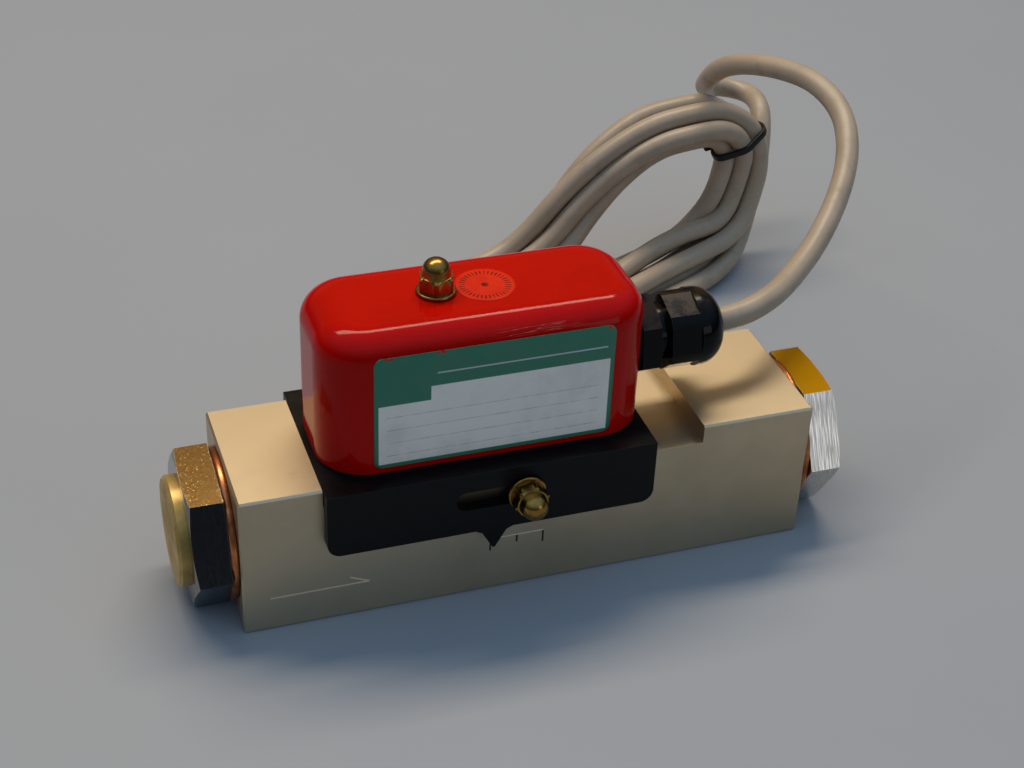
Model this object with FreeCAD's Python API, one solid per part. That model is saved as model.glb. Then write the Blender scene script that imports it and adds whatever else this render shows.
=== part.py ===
# Inline flow switch: square flow body, two hexagon connectors and a switch head that slides and clamps.
# Millimetres, +Z up, flow along +X, body resting on z = 0, mid-plane at y = 0.
import FreeCAD
import Part
import math
import os

Vector = FreeCAD.Vector

# Clearances
fit_gap = 0.05
slide_gap = 0.2
guide_gap = 0.15
hole_gap = 0.25

# Flow body
block_length = 150.0
block_width = 40.0
block_height = 40.0
block_edge = 0.5
piston_bore = 26.0
counterbore = 32.0
counterbore_depth = 18.0
groove_width = 0.5
groove_depth = 0.25

# Connectors, seal rings and inlet plug
hex_across = 36.0
hex_height = 8.8
inlet_hex_angle = 51.45
outlet_hex_angle = 58.6
port_diameter = 24.12
port_depth = 15.0
port_mouth = 0.9
through_bore = 20.0
seal_width = 3.25
seal_thickness = 2.0
plug_flange = 28.0
plug_flange_thickness = 3.0
plug_edge = 0.8
plug_depth = 10.0
plug_wall = 2.0

# Piston, guide and spring inside the bore
insert_thickness = 4.0
orifice_throat = 15.0
piston_travel = 16.0
piston_disc = 24.0
piston_disc_thickness = 5.0
stem_diameter = 16.0
stem_length = 30.0
spigot_diameter = 12.0
spigot_length = 25.0
magnet_outer = 20.0
magnet_length = 10.0
tail_length = 30.0
rod_diameter = 6.0
rod_overlap = 20.0
rod_spare = 2.0
seat_rim = 3.0
seat_arm = 4.0
spring_outer = 14.5
spring_wire = 1.4
spring_coils = 6

# Switch head on the flow body
recess_from_inlet = 20.5
head_travel = 14.0
saddle_length = 84.6
saddle_plate = 4.8
skirt_thickness = 3.0
skirt_gap = 0.3
skirt_height = 18.0
skirt_corner = 3.5
pointer_width = 6.5
pointer_drop = 5.8
slot_height = 5.6
slot_spare = 1.2
slot_below_top = 8.2
clamp_from_inlet = 71.0

# Studs, washers and cap nuts
thread = 5.0
stud_depth = 8.0
nut_across = 8.0
nut_hex = 4.0
nut_dome = 6.6
nut_height = 8.2
nut_cap = 2.0
washer_outer = 10.0
washer_thickness = 1.0

# Cover
gasket_thickness = 1.0
gasket_width = 4.5
cover_from_saddle = 1.3
cover_length = 83.0
cover_width = 36.0
cover_height = 37.5
cover_corner = 12.5
cover_edge = 7.3
cover_wall = 2.0
cover_nut_from_end = 51.0

# Cable gland
gland_above_block = 17.5
gland_thread = 15.2
gland_across = 19.0
gland_body_angle = 37.0
gland_nut_angle = 41.0
gland_gasket_outer = 18.0
gland_gasket_thickness = 1.0
gland_hex = 5.2
gland_neck = 2.8
gland_nut_round = 20.4
gland_nut_hex = 8.1
gland_dome = 7.7
gland_dome_edge = 6.4
gland_bore = 9.0
gland_engage = 6.0
gland_bush_outer = 12.0
gland_bush_length = 5.0
boss_diameter = 26.0
boss_depth = 5.0
locknut_across = 22.0
locknut_thickness = 3.5

# Reed contact and terminals
carrier_length = 32.0
carrier_width = 10.0
carrier_height = 7.0
carrier_to_terminal = 2.0
carrier_offset = 8.2
reed_diameter = 2.7
reed_length = 18.0
reed_lead = 0.7
return_wire_lift = 3.0
terminal_length = 12.0
terminal_width = 24.0
terminal_height = 13.0
terminal_from_end = 19.0
pole_pitch = 8.0
entry_height = 6.5
entry_diameter = 2.6
terminal_screw = 4.0
terminal_screw_depth = 3.0
core_diameter = 1.8
core_circle = 3.0

# Cable, its hank, tie and stripped end
cable_diameter = 6.4
lead_route = [(60, 0, 57.5), (73, 4.4, 58.8), (83.9, 13.5, 58.9), (95.6, 23, 61.5), (106, 33, 66.2),
              (113.9, 42.5, 70.9), (119.1, 51.5, 75.1), (121.8, 60.5, 79), (122.1, 70, 81.4),
              (119.8, 80, 82.9), (115.5, 90.5, 82), (110.5, 101.5, 79.2), (106.8, 112.5, 73.6),
              (106.5, 123, 65.7), (110.6, 134.5, 55.8), (115, 145.9, 47.5), (120.6, 151.5, 43.8),
              (128.4, 151.5, 42.3), (134, 145.9, 42.5), (134.6, 137.8, 43.2), (133.4, 130.3, 41.5),
              (126.5, 124.8, 32)]
hank_corners = [(45, 118.8, 8.4), (74, 121, 37), (121.3, 121.5, 66), (115.5, 119, 8.4),
                (22, 80.5, 8.4), (2, 98, 8.4), (14, 119, 8.4)]
hank_thickness = 16.6
fold_corner = 2
tie_share = 0.9
tie_width = 2.6
tie_thickness = 1.2
tie_gap = 0.25
tie_head_length = 5.0
tie_head_height = 4.0
end_along = 66.7
end_aside = 9.8
end_height = 9.9
end_length = 12.0

X = Vector(1, 0, 0)
Y = Vector(0, 1, 0)
Z = Vector(0, 0, 1)


# A solid turned about an axis from (along, radius) corners.
def turned(profile, base, axis):
    side = Y if abs(axis.z) > 0.5 or abs(axis.x) > 0.5 else X
    corners = [base + axis * along + side * radius for along, radius in profile]
    return Part.Face(Part.makePolygon(corners + corners[:1])).revolve(base, axis, 360)


# A round bar, and a ring with a hole through it.
def bar(diameter, length, base, axis):
    return Part.makeCylinder(diameter / 2, length, base, axis)


def ring(outer, inner, length, base, axis):
    return bar(outer, length, base, axis).cut(bar(inner, length, base, axis))


# A hexagon prism, its first corner turned from the front (or from +X) and its far end chamfered at 15 degrees.
def hexagon(across, length, base, axis, turn):
    first = X if abs(axis.x) < 0.5 else Vector(0, -1, 0)
    second = Y if abs(axis.z) > 0.5 else Z
    radius = across / math.sqrt(3)
    corners = []
    for step in range(7):
        angle = math.radians(turn + 60 * step)
        corners.append(base + first * (radius * math.cos(angle)) + second * (radius * math.sin(angle)))
    prism = Part.Face(Part.makePolygon(corners)).extrude(axis * length)
    flat = 0.505 * across
    drop = (radius - flat) * math.tan(math.radians(15))
    cone = turned([(0, 0), (0, radius), (length - drop, radius), (length, flat), (length, 0)], base, axis)
    return prism.common(cone)


# A domed cap nut with a blind thread hole.
def cap_nut(base, axis):
    dome = nut_dome / 2
    body = hexagon(nut_across, nut_hex, base, axis, 15)
    body = body.fuse(bar(nut_dome, nut_height - dome, base, axis))
    body = body.fuse(Part.makeSphere(dome, base + axis * (nut_height - dome)))
    return body.cut(bar(thread + 2 * fit_gap, nut_height - nut_cap, base, axis)).removeSplitter()


# An upright prism on a rounded rectangle.
def rounded_prism(start, length, width, corner, bottom, height):
    box = Part.makeBox(length, width, height, Vector(start, -width / 2, bottom))
    upright = [edge for edge in box.Edges if abs(edge.tangentAt(edge.FirstParameter).z) > 0.9]
    return box.makeFillet(corner, upright)


# Rounds every edge that lies at one height.
def round_top(solid, height, radius):
    edges = [edge for edge in solid.Edges if all(abs(v.Z - height) < 1e-4 for v in edge.Vertexes)]
    return solid.makeFillet(radius, edges)


# A path of straight runs joined by tangent arcs.
def rounded_path(points, closed):
    count = len(points)
    edges = []
    radii = []
    stops = [] if closed else [points[0]]
    for index in range(count) if closed else range(1, count - 1):
        corner = points[index]
        into = corner - points[index - 1]
        out = points[(index + 1) % count] - corner
        half = into.getAngle(out) / 2
        cut = 0.45 * min(into.Length, out.Length)
        radius = cut / math.tan(half)
        into.normalize()
        out.normalize()
        inward = out - into
        inward.normalize()
        middle = corner + inward * (radius / math.cos(half) - radius)
        enter = corner - into * cut
        leave = corner + out * cut
        if stops:
            edges.append(Part.makeLine(stops[-1], enter))
        edges.append(Part.Arc(enter, middle, leave).toShape())
        stops = [stops[0] if stops else enter, leave]
        radii.append(round(radius, 1))
    edges.append(Part.makeLine(stops[-1], stops[0] if closed else points[-1]))
    return Part.Wire(edges), radii


# A round wire or cable along such a path.
def tube(points, diameter):
    path, radii = rounded_path(points, False)
    section = Part.Wire(Part.makeCircle(diameter / 2, points[0], points[1] - points[0]))
    return path.makePipeShell([section], True, False), radii, path.Length


def save(name, shape):
    shape.exportStep("parts/" + name + ".step")


os.makedirs("parts", exist_ok=True)

# Places along the flow axis
connector_reach = seal_thickness + hex_height
inlet_face = (plug_flange_thickness - block_length) / 2
outlet_face = inlet_face + block_length
axis_height = block_height / 2
inlet = Vector(inlet_face, 0, axis_height)
outlet = Vector(outlet_face, 0, axis_height)
saddle_start = inlet_face + recess_from_inlet + slide_gap
saddle_end = saddle_start + saddle_length
pointer_x = (saddle_start + saddle_end) / 2
skirt_bottom = block_height - skirt_height
clamp_x = inlet_face + clamp_from_inlet
clamp_height = block_height - slot_below_top
half_width = block_width / 2

# Flow body with its bores, recess, stud holes, scale and flow arrow
block = Part.makeBox(block_length, block_width, block_height, Vector(inlet_face, -half_width, 0))
block = block.makeChamfer(block_edge, block.Edges)
recess_depth = saddle_plate + slide_gap
block = block.cut(Part.makeBox(saddle_length + head_travel + 2 * slide_gap, block_width + 2, recess_depth + 1,
                               Vector(saddle_start - slide_gap, -half_width - 1, block_height - recess_depth)))
block = block.cut(bar(piston_bore, block_length, inlet, X))
block = block.cut(bar(counterbore, counterbore_depth, inlet, X))
block = block.cut(bar(counterbore, counterbore_depth, outlet, -X))
for side in (-1, 1):
    block = block.cut(bar(thread + 2 * fit_gap, stud_depth + 1,
                          Vector(clamp_x, side * half_width, clamp_height), Y * -side))
scale_z = skirt_bottom - pointer_drop - groove_width


def groove(start, length, bottom, height):
    return Part.makeBox(length, groove_depth + 1, height, Vector(start, -half_width - 1, bottom))


block = block.cut(groove(pointer_x, head_travel + groove_width, scale_z, groove_width))
for share, drop in ((0, 3.4), (0.5, 2.0), (1, 3.4)):
    block = block.cut(groove(pointer_x + share * head_travel, groove_width, scale_z - drop, drop))
arrow_tip = Vector(inlet_face + 31.8, -half_width, 9.5)
block = block.cut(groove(arrow_tip.x - 25, 25, arrow_tip.z, groove_width))
barb = groove(arrow_tip.x - 5.5, 5.5, arrow_tip.z, groove_width)
barb.rotate(arrow_tip, Y, 24)
block = block.cut(barb)
save("body_block", block)


# Connectors, copper seal rings and the plug in the inlet
def connector(base, axis, turn):
    shank = bar(counterbore - 2 * fit_gap, counterbore_depth - insert_thickness + seal_thickness,
                base - axis * (counterbore_depth - insert_thickness), axis)
    body = shank.fuse(hexagon(hex_across, hex_height, base + axis * seal_thickness, axis, turn))
    mouth = port_diameter / 2
    hole = turned([(connector_reach, 0), (connector_reach, mouth + port_mouth),
                   (connector_reach - port_mouth, mouth), (connector_reach - port_depth, mouth),
                   (connector_reach - port_depth, through_bore / 2), (-counterbore_depth, through_bore / 2),
                   (-counterbore_depth, 0)], base, axis)
    return body.cut(hole)


save("inlet_connector", connector(inlet, -X, inlet_hex_angle))
save("outlet_connector", connector(outlet, X, outlet_hex_angle))
seal_inner = counterbore + 2 * hole_gap
seal_outer = seal_inner + 2 * seal_width
save("inlet_seal_ring", ring(seal_outer, seal_inner, seal_thickness, inlet, -X))
save("outlet_seal_ring", ring(seal_outer, seal_inner, seal_thickness, outlet, X))
plug_seat = inlet - X * connector_reach
plug_radius = port_diameter / 2 - fit_gap
rim = plug_flange / 2
plug = turned([(plug_flange_thickness, 0), (plug_flange_thickness, rim - plug_edge),
               (plug_flange_thickness - plug_edge, rim), (0, rim), (0, plug_radius), (-plug_depth, plug_radius),
               (-plug_depth, plug_radius - plug_wall), (0, plug_radius - plug_wall), (0, 0)], plug_seat, -X)
save("inlet_plug", plug)

# Orifice ring, piston, ring magnet and tail sleeve
step_in = inlet + X * counterbore_depth
step_out = outlet - X * counterbore_depth
insert_outer = counterbore / 2 - fit_gap
throat = orifice_throat / 2
save("orifice_ring", turned([(0, throat), (0, insert_outer), (-insert_thickness, insert_outer),
                             (-insert_thickness, throat + 2), (-insert_thickness + 2, throat)], step_in, X))
nose = step_in + X * slide_gap
magnet_at = nose + X * stem_length
tail_at = magnet_at + X * magnet_length
piston_length = stem_length + magnet_length + tail_length
guide_hole = rod_diameter + 2 * guide_gap
rod_end = piston_length - rod_overlap
piston = bar(stem_diameter, stem_length, nose, X)
piston = piston.fuse(bar(spigot_diameter, stem_length + spigot_length, nose, X))
disc = piston_disc / 2
piston = piston.fuse(turned([(0, 0), (0, disc - 2), (2, disc), (piston_disc_thickness, disc),
                             (piston_disc_thickness, 0)], nose, X))
piston = piston.cut(bar(guide_hole, piston_length, nose + X * (rod_end - piston_travel - rod_spare), X))
save("piston", piston.removeSplitter())
save("piston_magnet", ring(magnet_outer, spigot_diameter + 2 * fit_gap, magnet_length, magnet_at, X))
tail = ring(stem_diameter, guide_hole, tail_length, tail_at, X)
save("piston_tail", tail.cut(bar(spigot_diameter + 2 * fit_gap, spigot_length - magnet_length, tail_at, X)))

# Spring seat, guide rod and return spring
seat = ring(counterbore - 2 * fit_gap, counterbore - 2 * seat_rim, insert_thickness, step_out, X)
for turn in (90, 210, 330):
    arm = Part.makeBox(insert_thickness, seat_arm, (counterbore - seat_rim) / 2,
                       step_out - Y * (seat_arm / 2))
    arm.rotate(step_out, X, turn - 90)
    seat = seat.fuse(arm)
seat = seat.fuse(bar(stem_diameter, insert_thickness, step_out, X))
seat = seat.cut(bar(rod_diameter + 2 * fit_gap, insert_thickness, step_out, X))
save("spring_seat", seat.removeSplitter())
rod_start = nose + X * rod_end
rod_length = step_out.x + insert_thickness - rod_start.x
save("guide_rod", bar(rod_diameter, rod_length, rod_start, X))
spring_from = nose.x + piston_length + fit_gap
spring_rise = step_out.x - fit_gap - spring_from - spring_wire
spring_radius = (spring_outer - spring_wire) / 2
bends = []
for step in range(8 * spring_coils + 1):
    angle = math.radians(45 * step)
    bends.append(Vector(spring_from + spring_wire / 2 + spring_rise * step / (8 * spring_coils),
                        spring_radius * math.cos(angle), axis_height + spring_radius * math.sin(angle)))
run = bends[1] - bends[0]
run.normalize()
wide = run.cross(X)
wide.normalize()
high = wide.cross(run)
section = Part.makePolygon([bends[0] + (wide * math.cos(math.radians(45 * step))
                                        + high * math.sin(math.radians(45 * step))) * (spring_wire / 2)
                            for step in range(9)])
spring = Part.makePolygon(bends).makePipeShell([section], True, False, 1)
save("return_spring", spring)

# Clamp studs, washers and cap nuts on both sides
outside = half_width + skirt_gap + skirt_thickness + slide_gap
stud_reach = outside + washer_thickness + nut_height - nut_cap - half_width - hole_gap
studs = []
washers = []
nuts = []
for side in (-1, 1):
    root = Vector(clamp_x, side * (half_width - stud_depth), clamp_height)
    face = Vector(clamp_x, side * outside, clamp_height)
    studs.append(bar(thread, stud_depth + stud_reach, root, Y * side))
    washers.append(ring(washer_outer, thread + 2 * hole_gap, washer_thickness, face, Y * side))
    nuts.append(cap_nut(face + Y * (side * washer_thickness), Y * side))
save("clamp_studs", Part.makeCompound(studs))
save("clamp_washers", Part.makeCompound(washers))
save("clamp_nuts", Part.makeCompound(nuts))

# Saddle: plate in the recess, two skirts with slots, pointer on the front skirt
skirt_inner = half_width + skirt_gap
plate_bottom = block_height - saddle_plate
saddle = Part.makeBox(saddle_length, 2 * skirt_inner, saddle_plate,
                      Vector(saddle_start, -skirt_inner, plate_bottom))
for side in (-1, 1):
    corner = Vector(saddle_start, skirt_inner if side > 0 else -skirt_inner - skirt_thickness, skirt_bottom)
    skirt = Part.makeBox(saddle_length, skirt_thickness, skirt_height, corner)
    low = [edge for edge in skirt.Edges if all(v.Z < skirt_bottom + 0.1 for v in edge.Vertexes)
           and abs(edge.tangentAt(edge.FirstParameter).y) > 0.9]
    saddle = saddle.fuse(skirt.makeFillet(skirt_corner, low))
pointer = [(-0.75, 0.1), (-0.75, 0), (-0.48, -0.15), (-0.05, -1),
           (0.05, -1), (0.48, -0.15), (0.75, 0), (0.75, 0.1)]
corners = [Vector(pointer_x + wide * pointer_width, -skirt_inner, skirt_bottom + high * pointer_drop)
           for wide, high in pointer]
saddle = saddle.fuse(Part.Face(Part.makePolygon(corners + corners[:1])).extrude(Y * -skirt_thickness))
slot_start = Vector(clamp_x - head_travel - slot_spare, -block_width, clamp_height)
slot_run = head_travel + 2 * slot_spare
slot = bar(slot_height, 2 * block_width, slot_start, Y)
slot = slot.fuse(bar(slot_height, 2 * block_width, slot_start + X * slot_run, Y))
slot = slot.fuse(Part.makeBox(slot_run, 2 * block_width, slot_height, slot_start - Z * (slot_height / 2)))
saddle = saddle.cut(slot)
cover_start = saddle_start + cover_from_saddle
cover_end = cover_start + cover_length
stud_at = Vector(cover_end - cover_nut_from_end, 0, plate_bottom)
saddle = saddle.cut(bar(thread + 2 * fit_gap, saddle_plate, stud_at, Z))
save("saddle", saddle.removeSplitter())

# Cover on its gasket, with a spot face and a boss for the gland
cover_bottom = block_height + gasket_thickness
cover_top = cover_bottom + cover_height
outer = rounded_prism(cover_start, cover_length, cover_width, cover_corner, cover_bottom, cover_height)
outer = round_top(outer, cover_top, cover_edge)
cavity = rounded_prism(cover_start + cover_wall, cover_length - 2 * cover_wall, cover_width - 2 * cover_wall,
                       cover_corner - cover_wall, cover_bottom, cover_height - cover_wall)
cavity = round_top(cavity, cover_top - cover_wall, cover_edge - cover_wall)
gland_at = Vector(cover_end, 0, block_height + gland_above_block)
flat = cover_width / 2 - cover_corner
bulge = max(gland_gasket_outer / 2 + slide_gap - flat, 0)
spot_depth = cover_corner - math.sqrt(cover_corner ** 2 - bulge ** 2)
boss = bar(boss_diameter, boss_depth, gland_at - X * boss_depth, X).common(outer)
cover = outer.cut(cavity).fuse(boss)
cover = cover.cut(bar(gland_across * 1.2, cover_wall, gland_at - X * spot_depth, X))
cover = cover.cut(bar(gland_thread + 2 * hole_gap, 2 * boss_depth, gland_at - X * boss_depth, X))
cover = cover.cut(bar(thread + 2 * hole_gap, 2 * cover_height, stud_at + Z * saddle_plate, Z))
save("cover", cover.removeSplitter())
gasket = rounded_prism(cover_start, cover_length, cover_width, cover_corner, block_height, gasket_thickness)
gasket_hole = rounded_prism(cover_start + gasket_width, cover_length - 2 * gasket_width,
                            cover_width - 2 * gasket_width, cover_corner - gasket_width,
                            block_height, gasket_thickness)
save("cover_gasket", gasket.cut(gasket_hole))
nut_seat = Vector(stud_at.x, 0, cover_top)
stud_top = cover_top + washer_thickness + nut_height - nut_cap - hole_gap
save("cover_stud", bar(thread, stud_top - plate_bottom, stud_at, Z))
save("cover_washer", ring(washer_outer, thread + 2 * hole_gap, washer_thickness, nut_seat, Z))
save("cover_nut", cap_nut(nut_seat + Z * washer_thickness, Z))

# Cable gland: gasket, body, lock nut, bush and domed nut
gasket_at = gland_at - X * spot_depth
body_at = gasket_at + X * gland_gasket_thickness
neck_at = body_at + X * gland_hex
nut_at = neck_at + X * gland_neck
locknut_at = gland_at - X * boss_depth
spigot_end = locknut_at - X * (locknut_thickness + 1)
bush_at = nut_at + X * (gland_engage - gland_bush_length)
mouth_at = nut_at + X * (gland_nut_hex + gland_dome)
save("gland_gasket", ring(gland_gasket_outer, gland_thread + 2 * fit_gap, gland_gasket_thickness, gasket_at, X))
gland = bar(gland_thread, nut_at.x + gland_engage - spigot_end.x, spigot_end, X)
gland = gland.fuse(hexagon(gland_across, gland_hex, body_at, X, gland_body_angle))
gland = gland.cut(bar(gland_bore, mouth_at.x - spigot_end.x, spigot_end, X))
gland = gland.cut(bar(gland_bush_outer + 2 * fit_gap, gland_bush_length, bush_at, X))
save("gland_body", gland.removeSplitter())
locknut = hexagon(locknut_across, locknut_thickness, locknut_at, -X, 30)
save("gland_locknut", locknut.cut(bar(gland_thread + 2 * fit_gap, locknut_thickness, locknut_at, -X)))
save("gland_seal", ring(gland_bush_outer, cable_diameter + 2 * fit_gap, gland_bush_length, bush_at, X))
nut = bar(gland_nut_round, gland_nut_hex + gland_dome, nut_at, X)
rim_edge = [edge for edge in nut.Edges if all(abs(v.X - mouth_at.x) < 1e-4 for v in edge.Vertexes)]
nut = nut.makeFillet(gland_dome_edge, rim_edge)
flats = hexagon(gland_across, 2 * gland_nut_hex, nut_at, X, gland_nut_angle)
nut = nut.cut(bar(2 * gland_nut_round, gland_nut_hex, nut_at, X).cut(flats))
nut = nut.cut(bar(gland_thread + 2 * fit_gap, gland_engage + hole_gap, nut_at, X))
nut = nut.cut(bar(cable_diameter + 2 * hole_gap, mouth_at.x - nut_at.x, nut_at, X))
save("gland_nut", nut.removeSplitter())

# Reed contact in its carrier, beside the cover stud
terminal_face = cover_end - terminal_from_end
terminal_back = terminal_face - terminal_length
carrier_at = Vector(terminal_back - carrier_to_terminal - carrier_length,
                    -carrier_offset - carrier_width / 2, block_height)
carrier = Part.makeBox(carrier_length, carrier_width, carrier_height, carrier_at)
reed_height = block_height + carrier_height / 2
channel = reed_diameter + 2 * hole_gap
reed_mid = Vector(carrier_at.x + carrier_length / 2, -carrier_offset, reed_height)
carrier = carrier.cut(bar(channel, 2 * carrier_length, reed_mid - X * carrier_length, X))
carrier = carrier.cut(Part.makeBox(carrier_length, channel, carrier_height,
                                   reed_mid - X * (carrier_length / 2) - Y * (channel / 2)))
save("reed_carrier", carrier)
cap = reed_diameter / 2
reed_from = reed_mid - X * (reed_length / 2)
reed = bar(reed_diameter, reed_length - 2 * cap, reed_from + X * cap, X)
for end in (cap, reed_length - cap):
    reed = reed.fuse(Part.makeSphere(cap, reed_from + X * end))
save("reed_switch", reed.removeSplitter())
wire_top = block_height + carrier_height + return_wire_lift
straight = bar(reed_lead, terminal_back - reed_from.x - reed_length - fit_gap,
               reed_from + X * (reed_length + fit_gap), X)
loop = [reed_from - X * fit_gap, Vector(carrier_at.x - 3, -carrier_offset, reed_height),
        Vector(carrier_at.x - 3, -carrier_offset, wire_top), Vector(terminal_back, -pole_pitch / 2, wire_top)]
save("reed_leads", Part.makeCompound([straight, tube(loop, reed_lead)[0]]))

# Terminal block, its screws, and the cable's inner end
terminal = Part.makeBox(terminal_length, terminal_width, terminal_height,
                        Vector(terminal_back, -terminal_width / 2, block_height))
terminal_top = block_height + terminal_height
entry_z = block_height + entry_height
screws = []
cores = []
tail_end = spigot_end + X * 2
for pole in (-1, 0, 1):
    across = pole * pole_pitch
    entry = Vector(terminal_face, across, entry_z)
    screw_at = Vector(terminal_face - terminal_length / 2, across, terminal_top)
    terminal = terminal.cut(bar(entry_diameter, terminal_length / 2, entry, -X))
    terminal = terminal.cut(bar(terminal_screw + 2 * fit_gap, terminal_screw_depth, screw_at, -Z))
    screw = bar(terminal_screw, terminal_screw_depth - 0.5, screw_at - Z * terminal_screw_depth, Z)
    screws.append(screw.cut(Part.makeBox(terminal_screw, 0.8, 1, screw_at - X * (terminal_screw / 2)
                                         - Y * 0.4 - Z * 1.3)))
    angle = math.radians(90 * pole)
    leave = tail_end + Y * (core_circle / 2 * math.sin(angle)) + Z * (core_circle / 2 * (math.cos(angle) - 0.5))
    cores.append(tube([leave, leave - X * 2.5, entry + X * 2.5, entry - X * 3], core_diameter)[0])
save("terminal_block", terminal)
save("terminal_screws", Part.makeCompound(screws))
save("cable_cores", Part.makeCompound(cores))
lead_from = bush_at + X * gland_bush_length
save("cable_tail", bar(cable_diameter, lead_from.x - tail_end.x, tail_end, X))

# Cable lead from the gland to the hank
route = [lead_from] + [Vector(*point) for point in lead_route]
lead, radii, length = tube(route, cable_diameter)
save("cable_lead", lead)
print("cable lead radii", radii, "length", round(length, 1))
print("cable lead volume", round(lead.Volume), "of", round(length * math.pi * cable_diameter ** 2 / 4))

# Hank as one closed ring, flat on the table at one end and standing on its side at the other
corners = [Vector(*corner) for corner in hank_corners]
path, radii = rounded_path(corners, True)
edges = path.OrderedEdges
halves = []
for run in (edges[:len(corners)], edges[len(corners):]):
    start = run[0].valueAt(run[0].FirstParameter)
    section = Part.makeCircle(hank_thickness / 2, start, run[0].tangentAt(run[0].FirstParameter))
    halves.append(Part.Wire(run).makePipeShell([Part.Wire(section)], True, False))
hank = halves[0].fuse(halves[1]).removeSplitter()
save("cable_hank", hank)
print("hank radii", radii, "turn", round(path.Length, 1), "volume", round(hank.Volume), len(hank.Solids), hank.isValid())

# Tie round the hank below its fold, with its lock on the inner side
fold = edges[2 * fold_corner]
spot = fold.FirstParameter + tie_share * (fold.LastParameter - fold.FirstParameter)
tie_at = fold.valueAt(spot)
leg = fold.tangentAt(spot)
inner = fold.Curve.Center - tie_at
inner.normalize()
tie_inside = hank_thickness + 2 * tie_gap
tie = bar(tie_inside + 2 * tie_thickness, tie_width, tie_at - leg * (tie_width / 2), leg)
tie = tie.cut(bar(tie_inside, tie_width, tie_at - leg * (tie_width / 2), leg))
head = Part.makeBox(tie_head_length, tie_head_length, tie_head_height)
head.translate(Vector(-tie_head_length / 2, -tie_head_length / 2, 0))
head_at = tie_at + inner * (tie_inside / 2 + tie_thickness / 2)
facing = FreeCAD.Placement(head_at, FreeCAD.Rotation(leg, leg.cross(inner), inner, "ZXY"))
head.Placement = facing.multiply(head.Placement)
save("cable_tie", tie.fuse(head).removeSplitter())

# Stripped cores at the cable's hidden end, beside the leg that lies on the table
way = corners[fold_corner + 2] - corners[fold_corner + 1]
way.normalize()
end_at = corners[fold_corner + 1] + way * end_along + way.cross(-Z) * end_aside
end_at.z = end_height
ends = []
for step in range(3):
    angle = math.radians(120 * step + 90)
    spread = way.cross(Z) * (core_circle / 2 * math.cos(angle)) + Z * (core_circle / 2 * math.sin(angle))
    ends.append(bar(core_diameter, end_length, end_at + spread, way))
save("cable_end", Part.makeCompound(ends))
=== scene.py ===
import bmesh
import bpy
import numpy as np
from mathutils import Matrix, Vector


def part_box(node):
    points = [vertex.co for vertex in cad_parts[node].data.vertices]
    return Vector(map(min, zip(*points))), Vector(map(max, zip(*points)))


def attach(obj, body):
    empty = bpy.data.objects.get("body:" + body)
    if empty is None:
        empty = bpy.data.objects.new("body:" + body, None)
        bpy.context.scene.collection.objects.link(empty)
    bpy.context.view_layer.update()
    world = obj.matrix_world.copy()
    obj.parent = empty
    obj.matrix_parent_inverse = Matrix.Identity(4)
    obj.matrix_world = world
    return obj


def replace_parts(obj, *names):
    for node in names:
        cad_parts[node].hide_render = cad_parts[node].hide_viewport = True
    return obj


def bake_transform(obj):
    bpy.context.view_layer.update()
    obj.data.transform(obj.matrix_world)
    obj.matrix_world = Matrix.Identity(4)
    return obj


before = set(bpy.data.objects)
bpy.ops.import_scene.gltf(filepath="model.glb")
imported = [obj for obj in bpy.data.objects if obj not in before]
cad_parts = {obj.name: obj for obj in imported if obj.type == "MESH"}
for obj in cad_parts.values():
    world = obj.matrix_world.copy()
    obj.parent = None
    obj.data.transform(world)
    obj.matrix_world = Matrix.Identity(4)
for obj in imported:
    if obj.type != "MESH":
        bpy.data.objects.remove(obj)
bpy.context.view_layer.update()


# Flow body: a square bar of brass, machined, blasted to a satin and nickel plated.
# The plating is warm and even, a little darker in stains where hands and oil have touched it, and rubbed bright
# along its edges. It is painted dark as shade where it shows through the saddle's slots. The engraved lines are
# painted bright as a highlight, and the short ticks of the scale are painted dark as shade.
millimetre = 0.001
engraved_x, engraved_y, engraved_z = (-72.5, 10), (-19.93, -19.6), (1.2, 20)
tick_z, scale_line_z = (12.25, 15.7), (15.7, 16.4)
slot_shade_x, slot_shade_y, slot_shade_z = (-22, 20), (-20.5, 20.5), (27, 37)


def shade(red, green, blue):
    """A colour as it shows on a screen, 0 to 255 each, as the linear colour that the shader wants."""
    part = np.array([red, green, blue]) / 255
    linear = np.where(part <= 0.04045, part / 12.92, ((part + 0.055) / 1.055) ** 2.4)
    return (*linear.tolist(), 1.0)


def put(tree, kind, sockets=None, out=0, **settings):
    """Adds one shader node. Settings are its properties, and sockets its inputs by name or number,
    each a plain value or another node's output. Gives back one of its outputs."""
    node = tree.nodes.new(kind)
    for name, value in settings.items():
        setattr(node, name, value)
    for name, value in (sockets or {}).items():
        if isinstance(value, bpy.types.NodeSocket):
            tree.links.new(value, node.inputs[name])
        else:
            node.inputs[name].default_value = value
    return node.outputs[out]


def calc(tree, operation, *values):
    """One sum on values or outputs."""
    return put(tree, "ShaderNodeMath", dict(enumerate(values)), operation=operation)


def between(tree, value, low, high):
    """0 below low, 1 above high, and a smooth rise between them."""
    sockets = {"Value": value, "From Min": low, "From Max": high}
    return put(tree, "ShaderNodeMapRange", sockets, interpolation_type="SMOOTHSTEP")


def tint(tree, mask, below, above):
    """One colour where the mask is 0, another where it is 1."""
    return put(tree, "ShaderNodeMix", {0: mask, 6: below, 7: above}, out=2, data_type="RGBA")


def spread(tree, mask, low, high):
    """A plain number that goes from low to high with the mask."""
    return put(tree, "ShaderNodeMapRange", {"Value": mask, "To Min": low, "To Max": high})


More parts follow.
